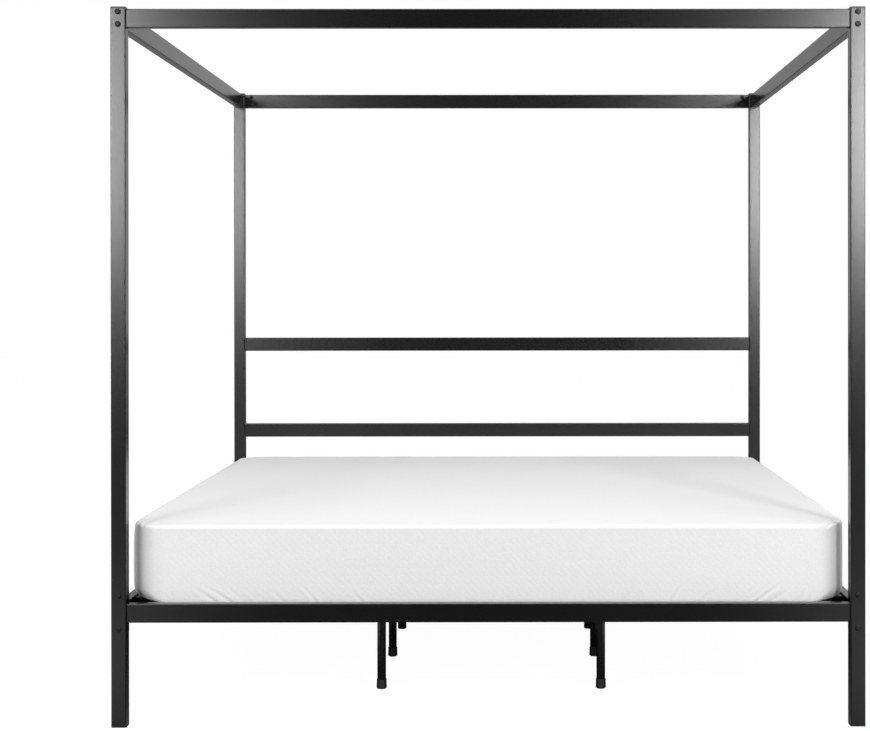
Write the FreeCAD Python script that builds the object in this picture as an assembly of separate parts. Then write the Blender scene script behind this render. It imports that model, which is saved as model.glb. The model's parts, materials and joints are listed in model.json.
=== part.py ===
"""Four poster canopy bed in black powder-coated steel tube, with slats, centre rails and a mattress.

Millimetres. The origin is on the floor, under the middle of the bed. +Y points to the head end,
+X to the right seen from the foot end, +Z up. Every piece is a solid of its own in its own file,
and identical small pieces share one file as a group of separate solids.
"""

import FreeCAD, Part
import math
import os

from FreeCAD import Vector

# Overall size
bed_width = 1995.0
bed_length = 2100.0
bed_height = 1905.0

# Square tube of the posts
post_size = 40.0
post_wall = 1.2
post_corner_radius = 3.0

# Rectangular tube of the long rails, standing on its narrow side
rail_depth = 25.0
rail_height = 50.0
rail_wall = 1.2
rail_corner_radius = 2.5

# Heights of the rails' centre lines
deck_rail_centre_z = 300.5
headboard_lower_centre_z = 627.0
headboard_upper_centre_z = 953.0

# Plastic caps on the posts and glides under them
cap_thickness = 5.0
cap_rim_radius = 1.5
cap_prong_length = 12.0
cap_prong_size = 8.0
glide_flange = 3.0
glide_plug_length = 22.0
glide_plug_wall = 2.5
plug_clearance = 0.2

# Button-head bolts of the main joints, size M8
bolt_diameter = 8.0
bolt_head_diameter = 14.0
bolt_head_height = 4.4
bolt_head_rounding = 0.65
bolt_socket_across_flats = 5.0
bolt_socket_depth = 2.6
bolt_hole_clearance = 0.5
thread_clearance = 0.2
post_bolt_reach = 12.0
washer_diameter = 16.0
washer_thickness = 1.6
nut_across_flats = 13.0
nut_height = 6.5
bolt_past_nut = 2.0
top_bolt_spacing = 33.0
deck_bolt_spacing = 88.0
deck_bolt_rise = 3.5

# End plates welded to the side rails, and plugs welded into the canopy side rails
end_plate_thickness = 4.0
end_plate_width = 38.0
end_plate_margin = 14.0
end_plug_thickness = 6.0

# Tongues welded to the posts, which the cross rails slide over
tongue_length = 45.0
tongue_wall = 3.0
tongue_clearance = 0.3
tongue_bolt_from_post = 26.0
tongue_bolt_spacing = 28.0
tongue_bolt_length = 12.0

# Slats across the bed, and the angle ledges that carry their ends
slat_count = 12
slat_width = 38.0
slat_height = 15.0
slat_wall = 1.0
slat_corner_radius = 1.5
slat_end_gap = 2.0
slat_below_rail_top = 5.5
slat_from_bed_end = 168.0
ledge_width = 30.0
ledge_drop = 27.0
ledge_thickness = 3.0

# Small bolts through the slats and brackets, size M6
small_bolt_diameter = 6.0
small_bolt_head_diameter = 10.5
small_bolt_head_height = 3.0
small_bolt_socket_across_flats = 4.0
small_bolt_socket_depth = 1.8
small_nut_across_flats = 10.0
small_nut_height = 5.0
slat_bolt_from_rail = 15.0

# Centre rails under the slats, their brackets and legs
centre_rail_x = 318.0
centre_rail_width = 25.0
centre_rail_height = 30.0
bracket_width = 40.0
bracket_length = 40.0
bracket_thickness = 3.0
bracket_rise = 22.0
leg_count = 4
leg_first_from_bed_end = 465.0
leg_pitch = 462.0
leg_diameter = 25.4
leg_wall = 1.2
leg_plug_thickness = 4.0
leg_stud_length = 13.0
foot_height = 28.0
foot_diameter = 30.0
foot_top_diameter = 28.4
foot_floor = 6.0
foot_edge_radius = 5.0

# Mattress and its fitted sheet
mattress_side_gap = 6.0
mattress_foot_gap = 15.5
mattress_head_gap = 35.5
mattress_height = 209.4
mattress_corner_radius = 100.0
mattress_bottom_radius = 30.0
mattress_top_radius = 10.0
mattress_least_radius = 2.0
mattress_wall = 13.0
mattress_rest_gap = 0.4
sheet_thickness = 0.8
sheet_clearance = 0.3
sheet_turn_under = 140.0

# How far a cutting shape reaches past the face it cuts
cut_overrun = 1.0

# Places worked out from the sizes above
post_centre_x = bed_width / 2 - post_size / 2
post_centre_y = bed_length / 2 - post_size / 2
post_inner_x = bed_width / 2 - post_size
post_inner_y = bed_length / 2 - post_size
post_top_z = bed_height - cap_thickness
top_rail_centre_z = post_top_z - rail_height / 2
deck_bolt_centre_z = deck_rail_centre_z + deck_bolt_rise
side_rail_inner_x = post_centre_x - rail_depth / 2
cross_rail_inner_y = post_centre_y - rail_depth / 2
slat_top_z = deck_rail_centre_z + rail_height / 2 - slat_below_rail_top
slat_bottom_z = slat_top_z - slat_height
slat_half_length = side_rail_inner_x - slat_end_gap
slat_bolt_x = side_rail_inner_x - slat_bolt_from_rail
centre_rail_bottom_z = slat_bottom_z - centre_rail_height
leg_bottom_z = foot_floor

AXES = {"x": Vector(1, 0, 0), "y": Vector(0, 1, 0), "z": Vector(0, 0, 1)}
LEFT_RIGHT = (("left", -1), ("right", 1))
FOOT_HEAD = (("foot", -1), ("head", 1))


def save(name, shape):
    """Write one piece to its own STEP file."""
    shape.exportStep(f"parts/{name}.step")


def runs_along(edge, axis):
    """Tell whether a straight edge is parallel to an axis."""
    run = edge.Vertexes[-1].Point - edge.Vertexes[0].Point
    return run.cross(AXES[axis]).Length < 1e-6


def bar(axis, low, high, radius=0.0):
    """Box between two corners, with the edges along the axis rounded."""
    size = high - low
    box = Part.makeBox(size.x, size.y, size.z, low)
    if radius <= 0:
        return box
    long_edges = [edge for edge in box.Edges if runs_along(edge, axis)]
    return box.makeFillet(radius, long_edges)


def tube(axis, low, high, wall, radius):
    """Rectangular tube between two corners, open at both ends of its axis."""
    along = AXES[axis]
    inset = (Vector(1, 1, 1) - along) * wall
    inner_low = low + inset - along * cut_overrun
    inner_high = high - inset + along * cut_overrun
    bore = bar(axis, inner_low, inner_high, max(radius - wall, 0.0))
    return bar(axis, low, high, radius).cut(bore)


def rod(start, direction, length, diameter):
    """Round bar that starts at a point and runs in a direction."""
    return Part.makeCylinder(diameter / 2, length, start, direction)


def hexagon(across_flats, height, base_z=0.0):
    """Upright hexagonal prism on the Z axis."""
    corner_radius = across_flats / math.sqrt(3)
    corners = []
    for step in range(7):
        angle = math.radians(60 * step)
        corners.append(Vector(corner_radius * math.cos(angle), corner_radius * math.sin(angle), base_z))
    return Part.Face(Part.makePolygon(corners)).extrude(Vector(0, 0, height))


def placed(shape, point, outward):
    """Move a shape made on the Z axis to a point, with its +Z turned outward."""
    moved = shape.copy()
    moved.Placement = FreeCAD.Placement(point, FreeCAD.Rotation(Vector(0, 0, 1), outward))
    return moved


def button_bolt(diameter, length, head_diameter, head_height, across_flats, socket_depth):
    """Button-head bolt with a hexagon socket, its head's seat at z 0 and its shank below."""
    head = Part.makeCylinder(head_diameter / 2, head_height)
    rim = [edge for edge in head.Edges if abs(edge.CenterOfMass.z - head_height) < 1e-6 and edge.Closed]
    head = head.makeFillet(head_height * bolt_head_rounding, rim)
    socket = hexagon(across_flats, socket_depth + cut_overrun, head_height - socket_depth)
    shank = rod(Vector(0, 0, 0), Vector(0, 0, -1), length, diameter - thread_clearance)
    return head.cut(socket).fuse(shank)


def main_bolt(length):
    """M8 button-head bolt of a given length."""
    return button_bolt(
        bolt_diameter,
        length,
        bolt_head_diameter,
        bolt_head_height,
        bolt_socket_across_flats,
        bolt_socket_depth,
    )


def small_bolt(length):
    """M6 button-head bolt of a given length."""
    return button_bolt(
        small_bolt_diameter,
        length,
        small_bolt_head_diameter,
        small_bolt_head_height,
        small_bolt_socket_across_flats,
        small_bolt_socket_depth,
    )


def upright_drill(height, diameter):
    """Round cutter on the Z axis, which reaches past a piece that stands on z 0."""
    return rod(Vector(0, 0, -cut_overrun), AXES["z"], height + 2 * cut_overrun, diameter)


def nut(across_flats, height, diameter):
    """Hexagon nut that stands on z 0."""
    return hexagon(across_flats, height).cut(upright_drill(height, diameter))


def washer():
    """Flat washer that stands on z 0."""
    ring = Part.makeCylinder(washer_diameter / 2, washer_thickness)
    return ring.cut(upright_drill(washer_thickness, bolt_diameter + bolt_hole_clearance))


def post_bolt_heights():
    """Heights of the four bolts through each post: two at the canopy rail, two at the side rail."""
    return [
        top_rail_centre_z + top_bolt_spacing / 2,
        top_rail_centre_z - top_bolt_spacing / 2,
        deck_bolt_centre_z + deck_bolt_spacing / 2,
        deck_bolt_centre_z - deck_bolt_spacing / 2,
    ]


def make_post(x_sign, y_sign):
    """One corner post: square tube, drilled front to back for its four bolts."""
    centre = Vector(x_sign * post_centre_x, y_sign * post_centre_y, 0)
    half = Vector(post_size / 2, post_size / 2, 0)
    low = centre - half + Vector(0, 0, glide_flange)
    high = centre + half + Vector(0, 0, post_top_z)
    post = tube("z", low, high, post_wall, post_corner_radius)
    for height in post_bolt_heights():
        start = centre + Vector(0, -post_size, height)
        post = post.cut(rod(start, AXES["y"], 2 * post_size, bolt_diameter + bolt_hole_clearance))
    return post


def make_post_cap(x_sign, y_sign):
    """Plastic cap on a post: a square head, and four corner prongs that straddle the bolts."""
    centre = Vector(x_sign * post_centre_x, y_sign * post_centre_y, post_top_z)
    half = Vector(post_size / 2, post_size / 2, 0)
    cap = bar("z", centre - half, centre + half + Vector(0, 0, cap_thickness), post_corner_radius)
    top_rim = [edge for edge in cap.Edges if edge.BoundBox.ZMin > bed_height - 1e-6]
    cap = cap.makeFillet(cap_rim_radius, top_rim)
    inside = post_size / 2 - post_wall - plug_clearance
    for x_side in (-1, 1):
        for y_side in (-1, 1):
            corner = centre + Vector(x_side * inside, y_side * inside, 0)
            opposite = corner - Vector(x_side * cap_prong_size, y_side * cap_prong_size, cap_prong_length)
            low = Vector(min(corner.x, opposite.x), min(corner.y, opposite.y), opposite.z)
            high = Vector(max(corner.x, opposite.x), max(corner.y, opposite.y), corner.z)
            cap = cap.fuse(bar("z", low, high, post_corner_radius - post_wall))
    return cap


def make_post_glide(x_sign, y_sign):
    """Plastic glide under a post: a flange on the floor and a hollow plug inside the tube."""
    centre = Vector(x_sign * post_centre_x, y_sign * post_centre_y, 0)
    half = Vector(post_size / 2, post_size / 2, 0)
    flange = bar("z", centre - half, centre + half + Vector(0, 0, glide_flange), post_corner_radius)
    plug_half = half - Vector(1, 1, 0) * (post_wall + plug_clearance)
    plug_low = centre - plug_half + Vector(0, 0, glide_flange)
    plug_high = centre + plug_half + Vector(0, 0, glide_flange + glide_plug_length)
    plug = bar("z", plug_low, plug_high, post_corner_radius - post_wall)
    hollow_low = plug_low + Vector(1, 1, 0) * glide_plug_wall
    hollow_high = plug_high + Vector(-glide_plug_wall, -glide_plug_wall, cut_overrun)
    return flange.fuse(plug.cut(bar("z", hollow_low, hollow_high)))


def make_cross_rail(y_sign, centre_z, bolted_side):
    """Rail across the bed between two posts, drilled on one side for its tongue bolts."""
    y_centre = y_sign * post_centre_y
    low = Vector(-post_inner_x, y_centre - rail_depth / 2, centre_z - rail_height / 2)
    high = Vector(post_inner_x, y_centre + rail_depth / 2, centre_z + rail_height / 2)
    rail = tube("x", low, high, rail_wall, rail_corner_radius)
    for point in tongue_bolt_points(y_sign, centre_z, bolted_side):
        start = point - Vector(0, bolted_side * (rail_wall + cut_overrun), 0)
        depth = rail_wall + 2 * cut_overrun
        hole = rod(start, AXES["y"] * bolted_side, depth, bolt_diameter + bolt_hole_clearance)
        rail = rail.cut(hole)
    return rail


def tongue_bolt_points(y_sign, centre_z, bolted_side):
    """Points on a cross rail's bolted face where its four tongue bolts sit."""
    face_y = y_sign * post_centre_y + bolted_side * rail_depth / 2
    points = []
    for _, x_sign in LEFT_RIGHT:
        for z_side in (-1, 1):
            x = x_sign * (post_inner_x - tongue_bolt_from_post)
            points.append(Vector(x, face_y, centre_z + z_side * tongue_bolt_spacing / 2))
    return points


def make_tongue(x_sign, y_sign, centre_z, bolted_side):
    """Channel welded to a post, inside a cross rail's end, with two tapped holes in its web."""
    y_centre = y_sign * post_centre_y
    half_depth = rail_depth / 2 - rail_wall - tongue_clearance
    half_height = rail_height / 2 - rail_wall - tongue_clearance
    x_near = x_sign * post_inner_x
    x_far = x_sign * (post_inner_x - tongue_length)
    low = Vector(min(x_near, x_far), y_centre - half_depth, centre_z - half_height)
    high = Vector(max(x_near, x_far), y_centre + half_depth, centre_z + half_height)
    channel = bar("x", low, high, rail_corner_radius - rail_wall)
    open_side = AXES["y"] * (-bolted_side) * (tongue_wall + cut_overrun)
    hollow_low = low + Vector(-cut_overrun, tongue_wall, tongue_wall)
    hollow_high = high + Vector(cut_overrun, -tongue_wall, -tongue_wall)
    hollow = bar("x", hollow_low, hollow_high)
    hollow = hollow.fuse(bar("x", hollow_low + open_side, hollow_high + open_side))
    channel = channel.cut(hollow)
    for point in tongue_bolt_points(y_sign, centre_z, bolted_side):
        start = point - Vector(0, bolted_side * rail_depth / 2, 0)
        channel = channel.cut(rod(start, AXES["y"] * bolted_side, rail_depth, bolt_diameter))
    return channel


def make_canopy_side_rail(x_sign):
    """Canopy rail along one side of the bed, butted between two posts."""
    x_centre = x_sign * post_centre_x
    low = Vector(x_centre - rail_depth / 2, -post_inner_y, top_rail_centre_z - rail_height / 2)
    high = Vector(x_centre + rail_depth / 2, post_inner_y, top_rail_centre_z + rail_height / 2)
    return tube("y", low, high, rail_wall, rail_corner_radius)


def make_end_plug(x_sign, y_sign):
    """Plug welded into the end of a canopy side rail, tapped for the two upper post bolts."""
    x_centre = x_sign * post_centre_x
    half_width = rail_depth / 2 - rail_wall - tongue_clearance
    half_height = rail_height / 2 - rail_wall - tongue_clearance
    y_ends = sorted((y_sign * post_inner_y, y_sign * (post_inner_y - end_plug_thickness)))
    low = Vector(x_centre - half_width, y_ends[0], top_rail_centre_z - half_height)
    high = Vector(x_centre + half_width, y_ends[1], top_rail_centre_z + half_height)
    plug = bar("y", low, high, rail_corner_radius - rail_wall)
    for height in post_bolt_heights()[:2]:
        start = Vector(x_centre, y_sign * (post_inner_y + cut_overrun), height)
        depth = end_plug_thickness + 2 * cut_overrun
        plug = plug.cut(rod(start, AXES["y"] * (-y_sign), depth, bolt_diameter))
    return plug


def make_side_rail(x_sign):
    """Side rail of the bed deck, between the end plates that are welded to it."""
    x_centre = x_sign * post_centre_x
    half_length = post_inner_y - end_plate_thickness
    low = Vector(x_centre - rail_depth / 2, -half_length, deck_rail_centre_z - rail_height / 2)
    high = Vector(x_centre + rail_depth / 2, half_length, deck_rail_centre_z + rail_height / 2)
    return tube("y", low, high, rail_wall, rail_corner_radius)


def make_end_plate(x_sign, y_sign):
    """Plate welded to the end of a side rail, with a clear hole for each lower post bolt."""
    x_centre = x_sign * post_centre_x
    half_height = deck_bolt_spacing / 2 + end_plate_margin
    y_ends = sorted((y_sign * post_inner_y, y_sign * (post_inner_y - end_plate_thickness)))
    low = Vector(x_centre - end_plate_width / 2, y_ends[0], deck_bolt_centre_z - half_height)
    high = Vector(x_centre + end_plate_width / 2, y_ends[1], deck_bolt_centre_z + half_height)
    plate = bar("y", low, high, post_corner_radius)
    for height in post_bolt_heights()[2:]:
        start = Vector(x_centre, y_sign * (post_inner_y + cut_overrun), height)
        depth = end_plate_thickness + 2 * cut_overrun
        hole = rod(start, AXES["y"] * (-y_sign), depth, bolt_diameter + bolt_hole_clearance)
        plate = plate.cut(hole)
    return plate


def slat_stations():
    """Y of each slat's centre line, from the foot end to the head end."""
    first = -bed_length / 2 + slat_from_bed_end
    pitch = (bed_length - 2 * slat_from_bed_end) / (slat_count - 1)
    return [first + index * pitch for index in range(slat_count)]


def make_slat(y_centre):
    """One slat: flat tube across the bed, drilled near both ends."""
    low = Vector(-slat_half_length, y_centre - slat_width / 2, slat_bottom_z)
    high = Vector(slat_half_length, y_centre + slat_width / 2, slat_top_z)
    slat = tube("x", low, high, slat_wall, slat_corner_radius)
    for _, x_sign in LEFT_RIGHT:
        start = Vector(x_sign * slat_bolt_x, y_centre, slat_bottom_z - cut_overrun)
        depth = slat_height + 2 * cut_overrun
        slat = slat.cut(rod(start, AXES["z"], depth, small_bolt_diameter + bolt_hole_clearance))
    return slat


def make_ledge(x_sign):
    """Angle welded to a side rail's inner face, which carries the slats' ends."""
    half_length = post_inner_y - end_plate_thickness
    x_rail = x_sign * side_rail_inner_x
    x_edge = x_sign * (side_rail_inner_x - ledge_width)
    x_web = x_sign * (side_rail_inner_x - ledge_thickness)
    shelf_low = Vector(min(x_rail, x_edge), -half_length, slat_bottom_z - ledge_thickness)
    shelf_high = Vector(max(x_rail, x_edge), half_length, slat_bottom_z)
    web_low = Vector(min(x_rail, x_web), -half_length, slat_bottom_z - ledge_drop)
    web_high = Vector(max(x_rail, x_web), half_length, slat_bottom_z - ledge_thickness)
    ledge = bar("y", shelf_low, shelf_high).fuse(bar("y", web_low, web_high)).removeSplitter()
    for y_centre in slat_stations():
        start = Vector(x_sign * slat_bolt_x, y_centre, slat_bottom_z - ledge_thickness - cut_overrun)
        depth = ledge_thickness + 2 * cut_overrun
        ledge = ledge.cut(rod(start, AXES["z"], depth, small_bolt_diameter + bolt_hole_clearance))
    return ledge


def leg_stations():
    """Y of each leg's axis, from the foot end to the head end."""
    first = -bed_length / 2 + leg_first_from_bed_end
    return [first + index * leg_pitch for index in range(leg_count)]


def bracket_bolt_y(y_sign):
    """Y of the bolt that holds a centre rail's end on its bracket."""
    return y_sign * (cross_rail_inner_y - bracket_length / 2)


def make_centre_rail(x_sign):
    """Rail under the slats from the foot rail to the head rail, drilled for legs and brackets."""
    x_centre = x_sign * centre_rail_x
    half = Vector(centre_rail_width / 2, 0, 0)
    low = Vector(x_centre, -cross_rail_inner_y, centre_rail_bottom_z) - half
    high = Vector(x_centre, cross_rail_inner_y, slat_bottom_z) + half
    rail = tube("y", low, high, rail_wall, slat_corner_radius)
    depth = rail_wall + 2 * cut_overrun
    for y in leg_stations():
        start = Vector(x_centre, y, centre_rail_bottom_z - cut_overrun)
        rail = rail.cut(rod(start, AXES["z"], depth, bolt_diameter + bolt_hole_clearance))
    for _, y_sign in FOOT_HEAD:
        start = Vector(x_centre, bracket_bolt_y(y_sign), centre_rail_bottom_z - cut_overrun)
        rail = rail.cut(rod(start, AXES["z"], depth, small_bolt_diameter + bolt_hole_clearance))
    return rail


def make_bracket(x_sign, y_sign):
    """Angle bracket welded to a cross rail's inner face, with a shelf under the centre rail."""
    x_centre = x_sign * centre_rail_x
    y_face = y_sign * cross_rail_inner_y
    y_shelf = y_sign * (cross_rail_inner_y - bracket_length)
    y_web = y_sign * (cross_rail_inner_y - bracket_thickness)
    x_half = bracket_width / 2
    shelf_low = Vector(x_centre - x_half, min(y_face, y_shelf), centre_rail_bottom_z - bracket_thickness)
    shelf_high = Vector(x_centre + x_half, max(y_face, y_shelf), centre_rail_bottom_z)
    bracket = bar("z", shelf_low, shelf_high)
    ear_inner = centre_rail_width / 2
    for x_side in (-1, 1):
        ear_ends = sorted((x_centre + x_side * ear_inner, x_centre + x_side * x_half))
        ear_low = Vector(ear_ends[0], min(y_face, y_web), centre_rail_bottom_z)
        ear_high = Vector(ear_ends[1], max(y_face, y_web), centre_rail_bottom_z + bracket_rise)
        bracket = bracket.fuse(bar("z", ear_low, ear_high))
    start = Vector(x_centre, bracket_bolt_y(y_sign), centre_rail_bottom_z - bracket_thickness - cut_overrun)
    depth = bracket_thickness + 2 * cut_overrun
    hole = rod(start, AXES["z"], depth, small_bolt_diameter + bolt_hole_clearance)
    return bracket.cut(hole).removeSplitter()


def make_leg(x_sign, y):
    """Round tube leg, from inside its foot up to the centre rail."""
    start = Vector(x_sign * centre_rail_x, y, leg_bottom_z)
    length = centre_rail_bottom_z - leg_bottom_z
    outer = rod(start, AXES["z"], length, leg_diameter)
    bore_start = start - AXES["z"] * cut_overrun
    return outer.cut(rod(bore_start, AXES["z"], length + 2 * cut_overrun, leg_diameter - 2 * leg_wall))


def make_leg_stud(x_sign, y):
    """Disc welded inside a leg's top, with a stud that screws into the centre rail's nut."""
    base = Vector(x_sign * centre_rail_x, y, centre_rail_bottom_z - leg_plug_thickness)
    disc = rod(base, AXES["z"], leg_plug_thickness, leg_diameter - 2 * leg_wall - thread_clearance)
    length = leg_plug_thickness + leg_stud_length
    return disc.fuse(rod(base, AXES["z"], length, bolt_diameter - thread_clearance))


def make_leg_foot(x_sign, y):
    """Plastic foot pushed over a leg's lower end, wider at the floor and rounded at its edge."""
    at = Vector(x_sign * centre_rail_x, y, 0)
    foot = Part.makeCone(foot_diameter / 2, foot_top_diameter / 2, foot_height, at, AXES["z"])
    bottom_rim = [edge for edge in foot.Edges if edge.Closed and edge.BoundBox.ZMax < 1e-6]
    foot = foot.makeFillet(foot_edge_radius, bottom_rim)
    socket_start = at + Vector(0, 0, foot_floor)
    return foot.cut(rod(socket_start, AXES["z"], foot_height, leg_diameter + 2 * plug_clearance))


def rounded_block(low, high, plan_radius, bottom_radius, top_radius):
    """Closed block with rounded upright corners and rounded bottom and top edges."""
    block = bar("z", low, high, plan_radius)
    bottom_rim = [edge for edge in block.Edges if edge.BoundBox.ZMax < low.z + 1e-3]
    block = block.makeFillet(bottom_radius, bottom_rim)
    top_rim = [edge for edge in block.Edges if edge.BoundBox.ZMin > high.z - 1e-3]
    return block.makeFillet(top_radius, top_rim)


def mattress_block(grow):
    """The mattress's rounded outline, grown or shrunk on every side."""
    base_z = slat_top_z + mattress_rest_gap + sheet_thickness + sheet_clearance
    half_width = side_rail_inner_x - mattress_side_gap
    foot_y = -cross_rail_inner_y + mattress_foot_gap
    head_y = cross_rail_inner_y - mattress_head_gap
    margin = Vector(grow, grow, grow)
    low = Vector(-half_width, foot_y, base_z) - margin
    high = Vector(half_width, head_y, base_z + mattress_height) + margin
    radii = [mattress_corner_radius, mattress_bottom_radius, mattress_top_radius]
    return rounded_block(low, high, *[max(radius + grow, mattress_least_radius) for radius in radii])


def make_mattress():
    """Mattress: a quilted wall of even thickness, closed all round."""
    return mattress_block(0.0).cut(mattress_block(-mattress_wall))


def make_fitted_sheet():
    """Fitted sheet: a thin skin over the mattress, turned under it and open in the middle."""
    outer = mattress_block(sheet_clearance + sheet_thickness)
    skin = outer.cut(mattress_block(sheet_clearance))
    box = outer.BoundBox
    low = Vector(box.XMin + sheet_turn_under, box.YMin + sheet_turn_under, box.ZMin - cut_overrun)
    high = Vector(box.XMax - sheet_turn_under, box.YMax - sheet_turn_under, box.ZMin + mattress_bottom_radius)
    return skin.cut(bar("z", low, high, mattress_corner_radius))


def cross_rails():
    """Name, end, centre height and bolted side of every rail across the bed."""
    foot, head = -1, 1
    return [
        ("canopy_rail_foot", foot, top_rail_centre_z, 1),
        ("canopy_rail_head", head, top_rail_centre_z, -1),
        ("foot_rail", foot, deck_rail_centre_z, 1),
        ("head_rail", head, deck_rail_centre_z, 1),
        ("headboard_rail_upper", head, headboard_upper_centre_z, 1),
        ("headboard_rail_lower", head, headboard_lower_centre_z, 1),
    ]


def build_posts():
    """Posts with their caps and glides."""
    for end, y_sign in FOOT_HEAD:
        for side, x_sign in LEFT_RIGHT:
            save(f"post_{end}_{side}", make_post(x_sign, y_sign))
            save(f"post_cap_{end}_{side}", make_post_cap(x_sign, y_sign))
            save(f"post_glide_{end}_{side}", make_post_glide(x_sign, y_sign))


def build_cross_rails():
    """Rails across the bed, the tongues inside their ends and the bolts that hold them."""
    tongues = []
    bolts = []
    for name, y_sign, centre_z, bolted_side in cross_rails():
        save(name, make_cross_rail(y_sign, centre_z, bolted_side))
        for _, x_sign in LEFT_RIGHT:
            tongues.append(make_tongue(x_sign, y_sign, centre_z, bolted_side))
        for point in tongue_bolt_points(y_sign, centre_z, bolted_side):
            bolts.append(placed(main_bolt(tongue_bolt_length), point, AXES["y"] * bolted_side))
    save("rail_tongues", Part.makeCompound(tongues))
    save("rail_bolts", Part.makeCompound(bolts))


def build_side_rails():
    """Rails along the bed with their end plates, plugs and ledges."""
    plates = []
    plugs = []
    for side, x_sign in LEFT_RIGHT:
        save(f"canopy_rail_{side}", make_canopy_side_rail(x_sign))
        save(f"side_rail_{side}", make_side_rail(x_sign))
        save(f"slat_ledge_{side}", make_ledge(x_sign))
        for _, y_sign in FOOT_HEAD:
            plates.append(make_end_plate(x_sign, y_sign))
            plugs.append(make_end_plug(x_sign, y_sign))
    save("side_rail_end_plates", Part.makeCompound(plates))
    save("canopy_rail_end_plugs", Part.makeCompound(plugs))


def build_post_bolts():
    """Long bolts through the posts, their washers, and the nuts welded to the end plates."""
    bolts = []
    washers = []
    nuts = []
    length = washer_thickness + post_size + end_plate_thickness + post_bolt_reach
    for _, y_sign in FOOT_HEAD:
        outward = AXES["y"] * y_sign
        for _, x_sign in LEFT_RIGHT:
            for index, height in enumerate(post_bolt_heights()):
                face = Vector(x_sign * post_centre_x, y_sign * bed_length / 2, height)
                washers.append(placed(washer(), face, outward))
                bolts.append(placed(main_bolt(length), face + outward * washer_thickness, outward))
                if index >= 2:
                    seat = face - outward * (post_size + end_plate_thickness)
                    nuts.append(placed(nut(nut_across_flats, nut_height, bolt_diameter), seat, outward * -1))
    save("post_bolts", Part.makeCompound(bolts))
    save("post_washers", Part.makeCompound(washers))
    return nuts


def build_slats():
    """Slats, with the bolts through their ends and the nuts under the ledges."""
    bolts = []
    nuts = []
    ledge_bottom_z = slat_bottom_z - ledge_thickness
    length = slat_height + ledge_thickness + small_nut_height + bolt_past_nut
    for index, y_centre in enumerate(slat_stations(), start=1):
        save(f"slat_{index:02d}", make_slat(y_centre))
        for _, x_sign in LEFT_RIGHT:
            x = x_sign * slat_bolt_x
            bolts.append(placed(small_bolt(length), Vector(x, y_centre, slat_top_z), AXES["z"]))
            small_nut = nut(small_nut_across_flats, small_nut_height, small_bolt_diameter)
            nuts.append(placed(small_nut, Vector(x, y_centre, ledge_bottom_z), AXES["z"] * -1))
    return bolts, nuts


def build_centre_rails():
    """Centre rails with brackets, legs, studs and feet; returns their nuts and bolts."""
    brackets = []
    bolts = []
    studs = []
    feet = []
    leg_nuts = []
    bracket_nuts = []
    inner_floor_z = centre_rail_bottom_z + rail_wall
    for side, x_sign in LEFT_RIGHT:
        save(f"centre_rail_{side}", make_centre_rail(x_sign))
        for index, y in enumerate(leg_stations(), start=1):
            save(f"leg_{side}_{index}", make_leg(x_sign, y))
            studs.append(make_leg_stud(x_sign, y))
            feet.append(make_leg_foot(x_sign, y))
            seat = Vector(x_sign * centre_rail_x, y, inner_floor_z)
            leg_nuts.append(placed(nut(nut_across_flats, nut_height, bolt_diameter), seat, AXES["z"]))
        for _, y_sign in FOOT_HEAD:
            brackets.append(make_bracket(x_sign, y_sign))
            shelf_bottom_z = centre_rail_bottom_z - bracket_thickness
            at = Vector(x_sign * centre_rail_x, bracket_bolt_y(y_sign), shelf_bottom_z)
            length = bracket_thickness + rail_wall + small_nut_height + bolt_past_nut
            bolts.append(placed(small_bolt(length), at, AXES["z"] * -1))
            small_nut = nut(small_nut_across_flats, small_nut_height, small_bolt_diameter)
            bracket_nuts.append(placed(small_nut, Vector(at.x, at.y, inner_floor_z), AXES["z"]))
    save("centre_rail_brackets", Part.makeCompound(brackets))
    save("leg_studs", Part.makeCompound(studs))
    save("leg_feet", Part.makeCompound(feet))
    return leg_nuts, bolts, bracket_nuts


def main():
    """Build every piece of the bed."""
    os.makedirs("parts", exist_ok=True)
    build_posts()
    build_cross_rails()
    build_side_rails()
    plate_nuts = build_post_bolts()
    slat_bolts, slat_nuts = build_slats()
    leg_nuts, bracket_bolts, bracket_nuts = build_centre_rails()
    save("large_nuts", Part.makeCompound(plate_nuts + leg_nuts))
    save("small_bolts", Part.makeCompound(slat_bolts + bracket_bolts))
    save("small_nuts", Part.makeCompound(slat_nuts + bracket_nuts))
    save("mattress", make_mattress())
    save("fitted_sheet", make_fitted_sheet())


main()
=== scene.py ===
"""Looks for the four poster canopy bed: powder-coated tube, bolts, mattress and fitted sheet.

Metres, in the same frame as the design: the floor is z 0, +Y points to the head end, +X to the right
seen from the foot end. The steel, plastic and bolts keep their own shapes and get their finishes here.
The mattress and its fitted sheet are built here as soft goods, in the place the design keeps for them.
"""

import json
import logging
import math
import random
from dataclasses import dataclass, field
from enum import Enum

import bpy
import numpy as np
from mathutils import Euler, Matrix, Vector
from mathutils.kdtree import KDTree


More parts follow.
